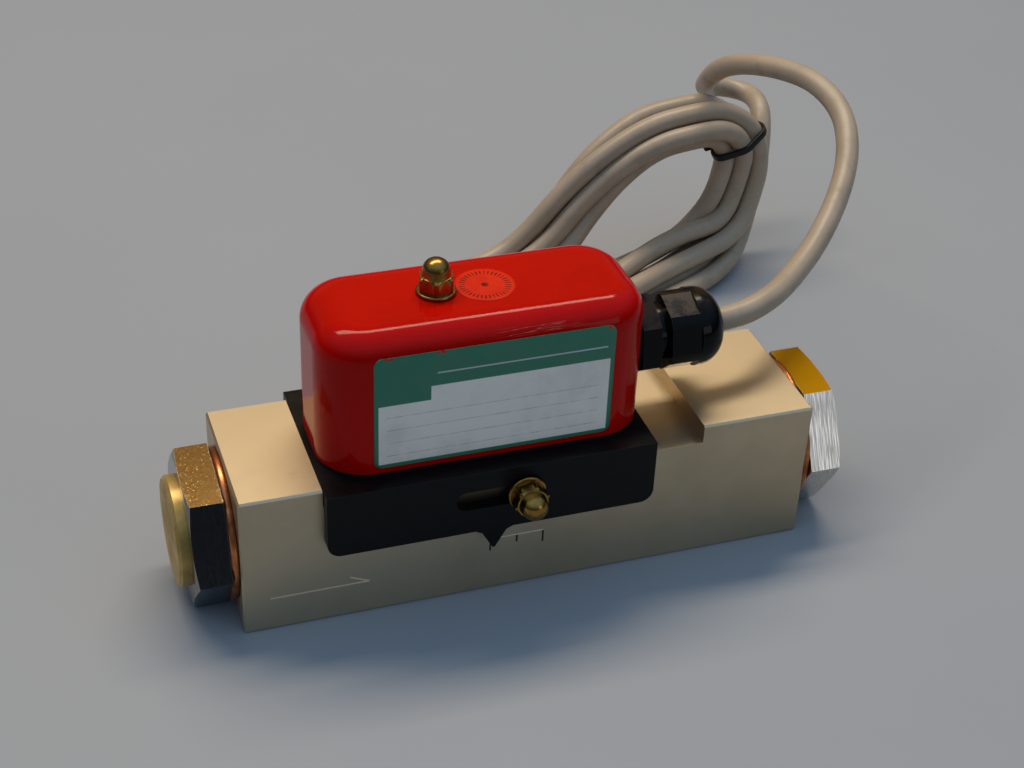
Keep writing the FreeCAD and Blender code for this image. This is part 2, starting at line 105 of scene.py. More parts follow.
def effect(name, inputs, outputs):
    """An empty shader group with named number inputs and outputs: its tree, its inputs and its end."""
    tree = bpy.data.node_groups.new(name, "ShaderNodeTree")
    for label, value in inputs.items():
        socket = tree.interface.new_socket(label, in_out="INPUT", socket_type="NodeSocketFloat")
        socket.default_value = value
    for label in outputs:
        tree.interface.new_socket(label, in_out="OUTPUT", socket_type="NodeSocketFloat")
    start = tree.nodes.new("NodeGroupInput")
    end = tree.nodes.new("NodeGroupOutput")
    return tree, start.outputs, end.inputs


def use(tree, group, **sockets):
    """Places a shader group in a finish, with its own values."""
    return put(tree, "ShaderNodeGroup", sockets, node_tree=group)


def finish(name, **sockets):
    """A new material with one shader, whose plain values are set on the shader itself."""
    material = bpy.data.materials.new(name)
    material.use_nodes = True
    tree = material.node_tree
    shader = tree.nodes["Principled BSDF"]
    for label, value in sockets.items():
        shader.inputs[label.replace("_", " ")].default_value = value
    return material, tree, shader.inputs


def join(tree, inputs, **outputs):
    """Links outputs to the shader's inputs by name."""
    for label, output in outputs.items():
        tree.links.new(output, inputs[label.replace("_", " ")])


def bumped(tree, height, distance):
    """A normal bent by a height, the distance being how deep the height's whole range is."""
    return put(tree, "ShaderNodeBump", {"Height": height, "Distance": distance, "Strength": 1.0})


def dress(material, *names):
    """Gives CAD nodes a finish in place of their plain one."""
    for name in names:
        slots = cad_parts[name].data.materials
        slots.clear()
        slots.append(material)


# mottle: cloudy patches, from a noise of some size that is cut between two levels
mottle, start, end = effect("mottle", {"Size": 0.01, "Low": 0.4, "High": 0.6}, ["Mask"])
place = put(mottle, "ShaderNodeTexCoord", out="Object")
cloud = put(mottle, "ShaderNodeTexNoise", {"Vector": place, "Detail": 5.0, "Roughness": 0.6,
                                           "Scale": calc(mottle, "DIVIDE", 1.0, start["Size"])})
mottle.links.new(between(mottle, cloud, start["Low"], start["High"]), end["Mask"])

# rubbed_edges: how far the surface turns within a radius, broken up by a fine noise
rubbed_edges, start, end = effect("rubbed_edges", {"Radius": 0.0006, "Low": 0.02, "High": 0.2}, ["Mask"])
smooth = put(rubbed_edges, "ShaderNodeBevel", {"Radius": start["Radius"]}, samples=6)
true = put(rubbed_edges, "ShaderNodeNewGeometry", out="Normal")
turn = put(rubbed_edges, "ShaderNodeVectorMath", {0: smooth, 1: true}, out="Value", operation="DOT_PRODUCT")
place = put(rubbed_edges, "ShaderNodeTexCoord", out="Object")
broken = put(rubbed_edges, "ShaderNodeTexNoise", {"Vector": place, "Scale": 420.0, "Detail": 4.0})
turn = calc(rubbed_edges, "MULTIPLY", calc(rubbed_edges, "SUBTRACT", 1.0, turn),
            spread(rubbed_edges, broken, 0.2, 1.8))
rubbed_edges.links.new(between(rubbed_edges, turn, start["Low"], start["High"]), end["Mask"])

# scratches: thin broken lines, the level lines of a noise drawn out along one direction
scratches, start, end = effect("scratches", {"Length": 0.02, "Width": 0.0006, "Turn": 0.0, "Tilt": 0.0,
                                             "Share": 0.05}, ["Mask"])
place = put(scratches, "ShaderNodeTexCoord", out="Object")
turned = put(scratches, "ShaderNodeCombineXYZ", {"X": start["Tilt"], "Z": start["Turn"]})
place = put(scratches, "ShaderNodeMapping", {"Vector": place, "Rotation": turned})
long = calc(scratches, "DIVIDE", 1.0, start["Length"])
thin = calc(scratches, "DIVIDE", 1.0, start["Width"])
place = put(scratches, "ShaderNodeVectorMath", operation="MULTIPLY", sockets={
    0: place, 1: put(scratches, "ShaderNodeCombineXYZ", {"X": long, "Y": thin, "Z": thin})})
lines = put(scratches, "ShaderNodeTexNoise", {"Vector": place, "Scale": 1.0, "Detail": 2.0})
lines = calc(scratches, "ABSOLUTE", calc(scratches, "SUBTRACT", lines, 0.5))
lines = calc(scratches, "SUBTRACT", 1.0, between(scratches, lines, 0.0, start["Share"]))
scratches.links.new(lines, end["Mask"])

# grain: an even fine roughness of a given size
grain, start, end = effect("grain", {"Size": 0.0002}, ["Height"])
place = put(grain, "ShaderNodeTexCoord", out="Object")
fine = put(grain, "ShaderNodeTexNoise", {"Vector": place, "Detail": 3.0, "Roughness": 0.7,
                                         "Scale": calc(grain, "DIVIDE", 1.0, start["Size"])})
grain.links.new(fine, end["Height"])

nickel = shade(207, 190, 160)
nickel_dull = shade(193, 176, 146)
nickel_bright = shade(232, 220, 196)


def inside(tree, value, low, high, soft=0.08):
    """1 between two places, in millimetres, with a soft edge."""
    soft = soft * millimetre
    rise = between(tree, value, low * millimetre - soft, low * millimetre + soft)
    fall = between(tree, value, high * millimetre - soft, high * millimetre + soft)
    return calc(tree, "SUBTRACT", rise, fall)


def lay(tree, *masks):
    """The product of some masks: what lies in all of them."""
    product = masks[0]
    for mask in masks[1:]:
        product = calc(tree, "MULTIPLY", product, mask)
    return product


def where(tree, middle=(0, 0, 0)):
    """How far a place on the piece lies from a middle, given in millimetres, along X, Y and Z."""
    place = put(tree, "ShaderNodeTexCoord", out="Object")
    middle = tuple(value * millimetre for value in middle)
    place = put(tree, "ShaderNodeVectorMath", {0: place, 1: middle}, operation="SUBTRACT")
    return put(tree, "ShaderNodeSeparateXYZ", {0: place}).node.outputs


plating, tree, inputs = finish("satin_nickel_plate", Metallic=1.0)
place = where(tree)
cloudy = use(tree, mottle, Size=0.05, Low=0.4, High=0.7)
stain = use(tree, mottle, Size=0.013, Low=0.64, High=0.78)
pits = use(tree, mottle, Size=0.0016, Low=0.76, High=0.79)
edge = use(tree, rubbed_edges, Radius=0.0006, Low=0.05, High=0.3)
scored = use(tree, scratches, Length=0.03, Width=0.0009, Turn=0.2, Share=0.012)
cut = lay(tree, inside(tree, place["Y"], *engraved_y, 0.03), inside(tree, place["X"], *engraved_x),
          inside(tree, place["Z"], *engraved_z))
colour = tint(tree, cloudy, nickel, nickel_dull)
colour = tint(tree, calc(tree, "MULTIPLY", stain, 0.2), colour, shade(120, 100, 76))
colour = tint(tree, calc(tree, "MULTIPLY", pits, 0.6), colour, shade(86, 70, 52))
# Painted shade: the body is painted dark where it shows through the saddle's slots.
slot_shade = lay(tree, inside(tree, place["X"], *slot_shade_x), inside(tree, place["Z"], *slot_shade_z),
            inside(tree, place["Y"], *slot_shade_y))
colour = tint(tree, calc(tree, "MULTIPLY", slot_shade, 0.85), colour, shade(58, 50, 40))
colour = tint(tree, calc(tree, "MULTIPLY", edge, 0.3), colour, nickel_bright)
# Painted light on the engraved lines: the scale's line and the arrow are painted bright as a highlight, the
# scale's ticks painted dark as shade, and the lines made mostly unmetallic so that the painted colour shows.
ticks = inside(tree, place["Z"], *tick_z)
engraved_highlight = tint(tree, inside(tree, place["Z"], *scale_line_z), shade(238, 216, 184), shade(255, 252, 244))
colour = tint(tree, cut, colour, tint(tree, ticks, engraved_highlight, shade(84, 76, 64)))
lines = calc(tree, "SUBTRACT", cut, lay(tree, cut, ticks))
rough = spread(tree, cloudy, 0.43, 0.49)
rough = calc(tree, "ADD", rough, calc(tree, "MULTIPLY", scored, 0.06))
blasted = use(tree, grain, Size=0.00035)
join(tree, inputs, Base_Color=colour, Roughness=rough, Normal=bumped(tree, blasted, 0.00002),
     Metallic=spread(tree, lines, 1.0, 0.15))
dress(plating, "body_block")


# Connectors: hexagon brass bar, turned and nickel plated, screwed into the two ends of the body.
# The inlet one is polished, and its flats that face up carry a painted warm brass reflection with fine painted
# glints.
# The outlet one is newer: brushed along its flats, with a painted warm amber reflection on the flats that face
# up.
painted_brass_reflection = shade(172, 134, 78)
painted_amber_reflection = shade(208, 156, 8)
brushed_tilt = np.radians(61.4)


def upward(tree):
    """How far the surface faces up: the Z of its normal."""
    return put(tree, "ShaderNodeSeparateXYZ", {0: put(tree, "ShaderNodeNewGeometry", out="Normal")}, out="Z")


for port, side, painted_top_reflection, brushing, glint, base_rough in (
        ("inlet", shade(120, 120, 122), painted_brass_reflection, 0.08, 0.4, 0.1),
        ("outlet", shade(244, 240, 234), painted_amber_reflection, 0.75, 0.0, 0.28)):
    hexagon_plate, tree, inputs = finish(port + "_hexagon_plate", Metallic=1.0)
    facing_up = between(tree, upward(tree), 0.55, 0.8)
    speck = use(tree, mottle, Size=0.0006, Low=0.56, High=0.7)
    lines = use(tree, scratches, Length=0.012, Width=0.0004, Turn=-np.pi / 2, Tilt=-brushed_tilt, Share=0.16)
    edge = use(tree, rubbed_edges, Radius=0.0006, Low=0.03, High=0.2)
    brushed = calc(tree, "MULTIPLY", lines, brushing)
    colour = tint(tree, brushed, side, shade(142, 138, 132))
    # Painted reflection: the flats that face up are painted brass on the inlet and amber on the outlet, and the
    # inlet's carry bright painted glints.
    colour = tint(tree, facing_up, colour, painted_top_reflection)
    painted_glints = calc(tree, "MULTIPLY", speck, spread(tree, facing_up, 0.04, glint))
    colour = tint(tree, painted_glints, colour, shade(236, 214, 168))
    colour = tint(tree, calc(tree, "MULTIPLY", edge, 0.8), colour, nickel_bright)
    rough = spread(tree, lines, base_rough, base_rough + 0.04)
    rough = calc(tree, "ADD", rough, calc(tree, "MULTIPLY", painted_glints, 0.2))
    join(tree, inputs, Base_Color=colour, Roughness=rough)
    dress(hexagon_plate, port + "_connector")


# Seal rings: soft copper rings between the hexagons and the body, squeezed until their outer edge bulges.
# The copper has browned in patches, which are duller than the rest.
bore_height = 20.0
seal_wall, seal_bulge, seal_thickness = 3.2, 0.9, 2.0
same_point = 1e-7
sharp_angle = np.radians(35.0)


def skin(name, grid, material, closed=True):
    """A skin over a grid of points in millimetres: each cell is one face, the last column joins the first if
    the skin is closed, and a row that shrinks to a point becomes a pole."""
    rows, columns = grid.shape[:2]
    index = np.arange(rows * columns).reshape(rows, columns)
    beside = np.roll(index, -1, axis=1)
    cells = np.stack([index[:-1], beside[:-1], beside[1:], index[1:]], axis=-1)
    if not closed:
        cells = cells[:, :-1]
    mesh = bpy.data.meshes.new(name)
    mesh.from_pydata((grid.reshape(-1, 3) * millimetre).tolist(), [], cells.reshape(-1, 4).tolist())
    merged = bmesh.new()
    merged.from_mesh(mesh)
    bmesh.ops.remove_doubles(merged, verts=merged.verts, dist=same_point)
    if closed:
        bmesh.ops.recalc_face_normals(merged, faces=merged.faces)
    merged.to_mesh(mesh)
    merged.free()
    mesh.polygons.foreach_set("use_smooth", np.ones(len(mesh.polygons), bool))
    if closed:
        mesh.set_sharp_from_angle(angle=sharp_angle)
    mesh.materials.append(material)
    piece = bpy.data.objects.new(name, mesh)
    bpy.context.collection.objects.link(piece)
    return piece


def turning(profile, base, axis, first, sides=96, across=None, corner=0.0):
    """Circles of the profile's radius at each place along the axis. Where a size across flats is given, the
    radius is the lesser of the circle's and of a hexagon's: half the size over the cosine of the angle from
    the middle of the flat."""
    along, radius = np.asarray(profile, float).T
    axis, first = np.asarray(axis, float), np.asarray(first, float)
    second = np.cross(axis, first)
    angle = np.radians(np.arange(sides) * 360 / sides)
    reach = np.broadcast_to(radius[:, None], (len(radius), sides))
    if across:
        flat = (np.degrees(angle) % 60) - 30
        reach = np.minimum(reach, across / 2 / np.cos(np.radians(flat)))
    angle = angle + np.radians(corner)
    spoke = np.cos(angle)[:, None] * first + np.sin(angle)[:, None] * second
    return np.asarray(base, float) + along[:, None, None] * axis + reach[:, :, None] * spoke


def clouded(name, size, colours, roughness, low=0.35, **sockets):
    """A finish in cloudy patches of some size: the first colour and roughness where the mottle is 0, the
    second where it is 1."""
    material, tree, inputs = finish(name, **sockets)
    cloudy = use(tree, mottle, Size=size, Low=low, High=0.7)
    join(tree, inputs, Base_Color=tint(tree, cloudy, *colours), Roughness=spread(tree, cloudy, *roughness))
    return material


copper = clouded("browned_copper", 0.006, (shade(216, 138, 88), shade(150, 84, 52)), (0.24, 0.42), Metallic=1.0)
for name, face, away in (("inlet_seal_ring", -73.5, -1), ("outlet_seal_ring", 76.5, 1)):
    low, high = (np.array(corner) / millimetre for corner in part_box(name))
    outer = (high[2] - low[2]) / 2
    sweep = np.radians(np.linspace(-90, 90, 13))
    inner = outer - seal_wall
    rim = zip(seal_thickness / 2 * (1 + np.sin(sweep)), outer - seal_bulge * (1 - np.cos(sweep)))
    profile = [(0, inner), *rim, (seal_thickness, inner), (0, inner)]
    grid = turning(profile, (face, 0, bore_height), (away, 0, 0), (0, 0, 1), sides=128)
    crushed = skin(name + "_crushed", grid, copper)
    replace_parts(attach(crushed, "flow_body"), name)


# Inlet plug: a turned brass disc with a short skirt that screws into the inlet hexagon and closes it.
# Bare brass: its face is dulled by age to a flat ochre, and its rim is shinier and painted darker as shade.
plug_rim, rim_blur = 16.6, 0.5


def distance(tree, one, other):
    """The distance from a middle: the root of the sum of two squares."""
    return calc(tree, "SQRT", calc(tree, "ADD", calc(tree, "POWER", one, 2.0), calc(tree, "POWER", other, 2.0)))


plug_metal, tree, inputs = finish("dull_plug_brass", Metallic=0.6)
place = where(tree, (0, 0, bore_height))
radius = distance(tree, place["Y"], place["Z"])
rim = between(tree, radius, (plug_rim - rim_blur) * millimetre, (plug_rim + rim_blur) * millimetre)
cloudy = use(tree, mottle, Size=0.007, Low=0.35, High=0.68)
colour = tint(tree, cloudy, shade(206, 172, 102), shade(178, 144, 80))
# Painted shade: the rim is painted darker.
colour = tint(tree, rim, colour, shade(110, 84, 38))
rough = spread(tree, cloudy, 0.42, 0.58)
rough = calc(tree, "SUBTRACT", rough, calc(tree, "MULTIPLY", rim, 0.2))
dulled = use(tree, grain, Size=0.0006)
join(tree, inputs, Base_Color=colour, Roughness=rough, Normal=bumped(tree, dulled, 0.00002))
dress(plug_metal, "inlet_plug")


# Inside the bore: orifice ring, piston with its magnet and tail, guide rod and spring seat.
# Turned brass, a black ferrite magnet and a drawn steel rod, all clean and lightly oiled.
bore_brass = clouded("turned_brass", 0.006, (shade(196, 158, 82), shade(160, 122, 58)), (0.26, 0.4),
                     Metallic=1.0)
dress(bore_brass, "orifice_ring", "piston", "piston_tail", "spring_seat")
drawn_steel = clouded("drawn_steel", 0.003, (shade(190, 190, 188), shade(150, 150, 150)), (0.25, 0.4), low=0.3,
                      Metallic=1.0)
dress(drawn_steel, "guide_rod")
ferrite = clouded("ferrite_magnet", 0.002, (shade(58, 57, 58), shade(44, 43, 45)), (0.5, 0.65), low=0.3,
                  Metallic=0.3)
dress(ferrite, "piston_magnet")


# Return spring: a coil of drawn steel wire round the guide rod, between the piston and its seat.
# Its two ends bear on the piston and the body, so on the real switch it shortens as the piston opens; here it
# is one fixed coil.
spring_coils, spring_wire = 6, 1.4


def coil_spring(low, high, coils, wire):
    """A wire's circle carried along a screw line that fills a box from end to end, with closed ends."""
    angle = np.linspace(0, 2 * np.pi * coils, 24 * coils + 1)
    radius = (high[1] - low[1] - wire) / 2
    along = np.linspace(low[0] + wire / 2, high[0] - wire / 2, len(angle))
    spoke = np.stack([0 * angle, np.cos(angle), np.sin(angle)], axis=-1)
    middle = np.stack([along, 0 * along, 0 * along + (low[2] + high[2]) / 2], axis=-1) + radius * spoke
    spot = np.r_[0, np.arange(len(angle)), len(angle) - 1]
    thick = np.r_[0, np.ones(len(angle)), 0][:, None, None] * wire / 2
    turn = np.radians(np.arange(0, 360, 30))[:, None]
    circle = np.cos(turn) * spoke[spot][:, None, :] + np.sin(turn) * np.array((1, 0, 0))
    return middle[spot][:, None, :] + thick * circle


low, high = (np.array(corner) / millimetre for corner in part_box("return_spring"))
spring = skin("return_spring_coil", coil_spring(low, high, spring_coils, spring_wire), drawn_steel)
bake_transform(spring)
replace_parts(spring, "return_spring")


# Saddle: the head's carrier, which straddles the body, with a slot in each skirt and a pointer.
# Metal under a satin black coat that has a fine grain, its edges rubbed a little grey.
saddle_black, tree, inputs = finish("satin_black_coat", Specular_IOR_Level=0.16)
cloudy = use(tree, mottle, Size=0.012, Low=0.35, High=0.7)
edge = use(tree, rubbed_edges, Radius=0.0007, Low=0.08, High=0.45)
lines = use(tree, scratches, Length=0.02, Width=0.0008, Turn=0.4, Share=0.008)
colour = tint(tree, cloudy, shade(9, 9, 10), shade(13, 12, 13))
colour = tint(tree, calc(tree, "MULTIPLY", edge, 0.5), colour, shade(58, 54, 50))
colour = tint(tree, calc(tree, "MULTIPLY", lines, 0.3), colour, shade(54, 50, 47))
join(tree, inputs, Base_Color=colour, Roughness=spread(tree, cloudy, 0.3, 0.42),
     Normal=bumped(tree, use(tree, grain, Size=0.0005), 0.00001))
dress(saddle_black, "saddle")


# Clamp studs, washers and domed cap nuts: one set through each slot, holding the head where it is set.
# Steel studs under nuts of bare brass, browned by handling and rubbed bright on the corners.
# The washers are thick brass, with rounded rims.
nut_across = 8.0
nut_height = 8.2
nut_sides, nut_turn = 120, 15
stud_x, stud_z = -2.5, 31.8
dome_start, dome_radius = 5.2, 3.4
nut_profile = [(0, 0), (0, 4.3), (0.2, 4.62), (3.4, 4.62), (3.9, 3.95), (3.95, 3.65), (dome_start, dome_radius)]
bend = np.radians(np.linspace(0, 90, 15))
nut_profile += list(zip(dome_start + (nut_height - dome_start) * np.sin(bend), dome_radius * np.cos(bend)))
washer_bore, washer_thickness = 2.7, 1.0
nut_brass, tree, inputs = finish("aged_brass", Metallic=1.0)
cloudy = use(tree, mottle, Size=0.004, Low=0.35, High=0.7)
edge = use(tree, rubbed_edges, Radius=0.0004, Low=0.05, High=0.3)
colour = tint(tree, cloudy, shade(166, 128, 64), shade(124, 90, 42))
colour = tint(tree, calc(tree, "MULTIPLY", edge, 0.7), colour, shade(220, 188, 116))
join(tree, inputs, Base_Color=colour, Roughness=spread(tree, cloudy, 0.22, 0.33))
dress(drawn_steel, "clamp_studs")


def rounded_washer(radius, thickness):
    """A washer's section, from its bore out and back: flat faces joined by a half-round rim."""
    sweep = np.radians(np.linspace(-90, 90, 11))
    rim = zip(thickness / 2 * (1 + np.sin(sweep)), radius - thickness / 2 * (1 - np.cos(sweep)))
    return [(0, washer_bore), *rim, (thickness, washer_bore), (0, washer_bore)]


nut_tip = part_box("clamp_nuts")[1][1] / millimetre
washer_low, washer_high = (np.array(corner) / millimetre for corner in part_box("clamp_washers"))
washer_radius = (washer_high[2] - washer_low[2]) / 2
for side, label in ((-1, "front"), (1, "rear")):
    seat = (stud_x, side * (nut_tip - nut_height), stud_z)
    grid = turning(nut_profile, seat, (0, side, 0), (1, 0, 0), nut_sides, nut_across, nut_turn)
    nut = skin("clamp_cap_nut_" + label, grid, nut_brass)
    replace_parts(nut, "clamp_nuts")
    seat = (stud_x, side * (washer_high[1] - washer_thickness), stud_z)
    grid = turning(rounded_washer(washer_radius, washer_thickness), seat, (0, side, 0), (1, 0, 0))
    washer = skin("clamp_washer_" + label, grid, nut_brass)
    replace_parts(washer, "clamp_washers")
    for piece in (nut, washer):
        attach(piece, "flow_body")


# Cover gasket and cover: a drawn metal cover, stove enamelled red, on a thin rubber gasket.
# The enamel is glossy with a slight orange peel, chipped and scuffed along the upper edge.
rubber = clouded("black_rubber", 0.004, (shade(16, 15, 15), shade(24, 23, 22)), (0.6, 0.75),
                 Specular_IOR_Level=0.25)
dress(rubber, "cover_gasket")
enamel_red = shade(188, 8, 0)
scuff_x, scuff_y, scuff_z = (-9.0, 9.0), (-40.0, -10.0), (74.2, 75.8)
enamel, tree, inputs = finish("red_enamel", Specular_IOR_Level=0.12)
place = where(tree)
cloudy = use(tree, mottle, Size=0.03, Low=0.35, High=0.7)
edge = use(tree, rubbed_edges, Radius=0.004, Low=0.012, High=0.05)
chip = use(tree, mottle, Size=0.0026, Low=0.67, High=0.69)
scuff = use(tree, scratches, Length=0.012, Width=0.0006, Share=0.04)
lines = use(tree, scratches, Length=0.01, Width=0.0007, Turn=0.2, Share=0.01)
scuffed = lay(tree, scuff, inside(tree, place["Z"], *scuff_z, 0.3), inside(tree, place["X"], *scuff_x, 4.0),
              inside(tree, place["Y"], *scuff_y))
colour = tint(tree, cloudy, enamel_red, shade(178, 6, 0))
colour = tint(tree, calc(tree, "MULTIPLY", lines, 0.2), colour, shade(206, 60, 46))
colour = tint(tree, lay(tree, chip, edge), colour, shade(84, 30, 24))
colour = tint(tree, calc(tree, "MULTIPLY", scuffed, 0.35), colour, shade(232, 176, 160))
peel = use(tree, grain, Size=0.004)
join(tree, inputs, Base_Color=colour, Roughness=spread(tree, cloudy, 0.06, 0.1),
     Normal=bumped(tree, peel, 0.00001))
dress(enamel, "cover")


# Name plate: a thin printed foil stuck on the cover's front.
# Pale grey with a green border, a green head band and faded ruled rows, its top edge nicked down to the red.
plate_left, plate_right = -39.8, 20.5
plate_low, plate_high = 42.5, 73.5
plate_corner = 2.0
plate_lift, plate_thickness = 0.06, 0.12
border_side, border_low, band_height = 1.1, 1.0, 9.3
notch_width, notch_height = 14.0, 13.2
rule_from, rule_to, rule_drop, rule_thickness = 15.5, 2.0, 6.0, 0.4
row_count, row_from, row_to = 4, 3.0, 3.5
row_low, row_step, row_thickness = 3.2, 3.7, 0.15
nick_deepest, nick_full = 1.0, 0.4
cover_low, cover_high = (np.array(corner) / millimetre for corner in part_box("cover"))
cover_corner, cover_edge = 12.5, 7.3


def cover_front(x, z):
    """Depth of the cover's front at a place: flat between the corners, then falling back on a quarter circle at
    each end and along the top."""
    past = np.maximum(np.maximum(cover_low[0] + cover_corner - x, x - cover_high[0] + cover_corner), 0)
    over = np.maximum(z - cover_high[2] + cover_edge, 0)
    back = cover_corner - np.sqrt(cover_corner ** 2 - past ** 2)
    back = back + cover_edge - np.sqrt(cover_edge ** 2 - over ** 2)
    return cover_low[1] + back


share = np.sin(np.radians(np.linspace(-90, 90, 61))) / 2 + 0.5
height = plate_low + (plate_high - plate_low) * share
inward = np.maximum(plate_corner - np.minimum(height - plate_low, plate_high - height), 0)
inward = plate_corner - np.sqrt(plate_corner ** 2 - inward ** 2)
wide = np.linspace(0, 1, 81)
x = (plate_left + inward)[:, None] * (1 - wide) + (plate_right - inward)[:, None] * wide
z = np.broadcast_to(height[:, None], x.shape)
sheet = np.stack([x, cover_front(x, z) - plate_lift, z], axis=-1)


def foil(name, sheet, material, thickness):
    """An open skin over a sheet of points, given a thickness on the side that it faces."""
    piece = skin(name, sheet, material, closed=False)
    wall = piece.modifiers.new("wall", "SOLIDIFY")
    wall.thickness = thickness * millimetre
    wall.offset = 1.0
    return piece


foil_print, tree, inputs = finish("printed_foil")
place = where(tree)
field = lay(tree, inside(tree, place["X"], plate_left + border_side, plate_right - border_side),
            inside(tree, place["Z"], plate_low + border_low, plate_high - band_height))
notch = lay(tree, inside(tree, place["X"], plate_left, plate_left + notch_width),
            inside(tree, place["Z"], plate_high - notch_height, plate_high))
field = lay(tree, field, calc(tree, "SUBTRACT", 1.0, notch))
rule_z = plate_high - rule_drop
rule = lay(tree, inside(tree, place["Z"], rule_z, rule_z + rule_thickness),
           inside(tree, place["X"], plate_left + rule_from, plate_right - rule_to))
for row in range(row_count):
    row_z = plate_low + row_low + row_step * row
    line = lay(tree, inside(tree, place["Z"], row_z, row_z + row_thickness, 0.05),
               inside(tree, place["X"], plate_left + row_from, plate_right - row_to))
    rows = line if row == 0 else calc(tree, "MAXIMUM", rows, line)
faded = use(tree, mottle, Size=0.003, Low=0.35, High=0.65)
grubby = use(tree, mottle, Size=0.012, Low=0.4, High=0.75)
nick = use(tree, mottle, Size=0.004, Low=0.58, High=0.62)
nick = lay(tree, nick, between(tree, place["Z"], (plate_high - nick_deepest) * millimetre,
                               (plate_high - nick_full) * millimetre))
colour = tint(tree, field, shade(42, 122, 92), shade(246, 240, 226))
colour = tint(tree, rule, colour, shade(196, 204, 200))
colour = tint(tree, lay(tree, rows, spread(tree, faded, 0.2, 0.7)), colour, shade(118, 116, 118))
colour = tint(tree, calc(tree, "MULTIPLY", grubby, 0.18), colour, shade(122, 112, 100))
colour = tint(tree, nick, colour, enamel_red)
join(tree, inputs, Base_Color=colour, Roughness=spread(tree, grubby, 0.32, 0.5))
name_plate = foil("name_plate", sheet, foil_print, plate_thickness)
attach(name_plate, "head")


# Sticker: a round paper seal on the cover's top, orange-red with a plain ring of ticks.
# Pressed flat beside the nut, slightly grubby, its ticks worn in places.
sticker_x, sticker_radius, sticker_thickness = -7.2, 7.5, 0.1
tick_count, tick_ring, dot = 36, (4.9, 6.4), (-1.0, 0.9)
around = np.radians(np.linspace(0, 360, 97))
disc = np.linspace(0, 1, 14)[:, None] * sticker_radius
sheet = np.stack([sticker_x + disc * np.cos(around), disc * np.sin(around),
                  np.full_like(disc * around, cover_high[2] + plate_lift)], axis=-1)
paper, tree, inputs = finish("orange_paper", Specular_IOR_Level=0.1)
place = where(tree, (sticker_x, 0, 0))
radius = distance(tree, place["X"], place["Y"])
bearing = calc(tree, "ARCTAN2", place["Y"], place["X"])
tick = calc(tree, "FRACT", calc(tree, "MULTIPLY", bearing, tick_count / (2 * np.pi)))
tick = calc(tree, "SUBTRACT", between(tree, tick, 0.28, 0.36), between(tree, tick, 0.6, 0.68))
worn = use(tree, mottle, Size=0.002, Low=0.35, High=0.6)
marks = calc(tree, "MAXIMUM", lay(tree, tick, inside(tree, radius, *tick_ring)), inside(tree, radius, *dot))
marks = lay(tree, marks, spread(tree, worn, 0.6, 1.0))
grubby = use(tree, mottle, Size=0.004, Low=0.4, High=0.7)
colour = tint(tree, grubby, shade(216, 40, 4), shade(204, 32, 2))
colour = tint(tree, marks, colour, shade(40, 8, 6))
join(tree, inputs, Base_Color=colour, Roughness=spread(tree, grubby, 0.45, 0.6))
seal = foil("cover_seal", sheet, paper, sticker_thickness)
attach(seal, "head")


# Cover stud, washer and cap nut: the stud screws into the saddle and the nut pulls the cover down.
# The stud is drawn steel, the washer and nut are the same aged brass as the clamp nuts.
dress(drawn_steel, "cover_stud")
nut_x = -19.5
washer_low, washer_high = (np.array(corner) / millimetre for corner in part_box("cover_washer"))
profile = rounded_washer((washer_high[0] - washer_low[0]) / 2, washer_high[2] - washer_low[2])
grid = turning(profile, (nut_x, 0, washer_low[2]), (0, 0, 1), (1, 0, 0))
washer = skin("cover_washer_rounded", grid, nut_brass)
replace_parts(washer, "cover_washer")
grid = turning(nut_profile, (nut_x, 0, washer_high[2]), (0, 0, 1), (1, 0, 0), nut_sides, nut_across, nut_turn)
top_nut = skin("cover_cap_nut", grid, nut_brass)
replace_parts(top_nut, "cover_nut")
for piece in (washer, top_nut):
    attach(piece, "head")


# Under the cover: reed contact in its carrier, and the screw terminals where the cable's cores end.
# Moulded plastics, glass and drawn steel, new-looking because the cover keeps them clean.
dress(drawn_steel, "reed_leads", "terminal_screws")
carrier = clouded("carrier_plastic", 0.004, (shade(98, 98, 98), shade(88, 88, 89)), (0.42, 0.55))
dress(carrier, "reed_carrier")
terminal = clouded("terminal_plastic", 0.004, (shade(220, 217, 209), shade(210, 206, 196)), (0.4, 0.5))
dress(terminal, "terminal_block")
glass = clouded("reed_glass", 0.003, (shade(214, 232, 222), shade(196, 220, 208)), (0.03, 0.08),
                Transmission_Weight=0.9, IOR=1.5)
dress(glass, "reed_switch")


# Cable gland: body, lock nut and domed nut of black nylon, screwed through the cover's end on a rubber
# gasket, with a rubber bush round the cable. Satin black, with brown patches on the flats that face up: partly
# dust, partly a painted warm reflection.
dress(rubber, "gland_gasket", "gland_seal")
nylon, tree, inputs = finish("gland_nylon", Specular_IOR_Level=0.14)
patchy = use(tree, mottle, Size=0.004, Low=0.36, High=0.56)
# Partly dust and partly painted reflection: brown patches on the flats that face up.
dust_and_reflection = lay(tree, between(tree, upward(tree), 0.75, 0.97), patchy)
edge = use(tree, rubbed_edges, Radius=0.0005, Low=0.08, High=0.4)
colour = tint(tree, calc(tree, "MULTIPLY", dust_and_reflection, 0.6), shade(7, 7, 8), shade(48, 32, 16))
colour = tint(tree, calc(tree, "MULTIPLY", edge, 0.3), colour, shade(84, 78, 70))
join(tree, inputs, Base_Color=colour, Roughness=spread(tree, dust_and_reflection, 0.14, 0.24))
dress(nylon, "gland_body", "gland_locknut", "gland_nut")


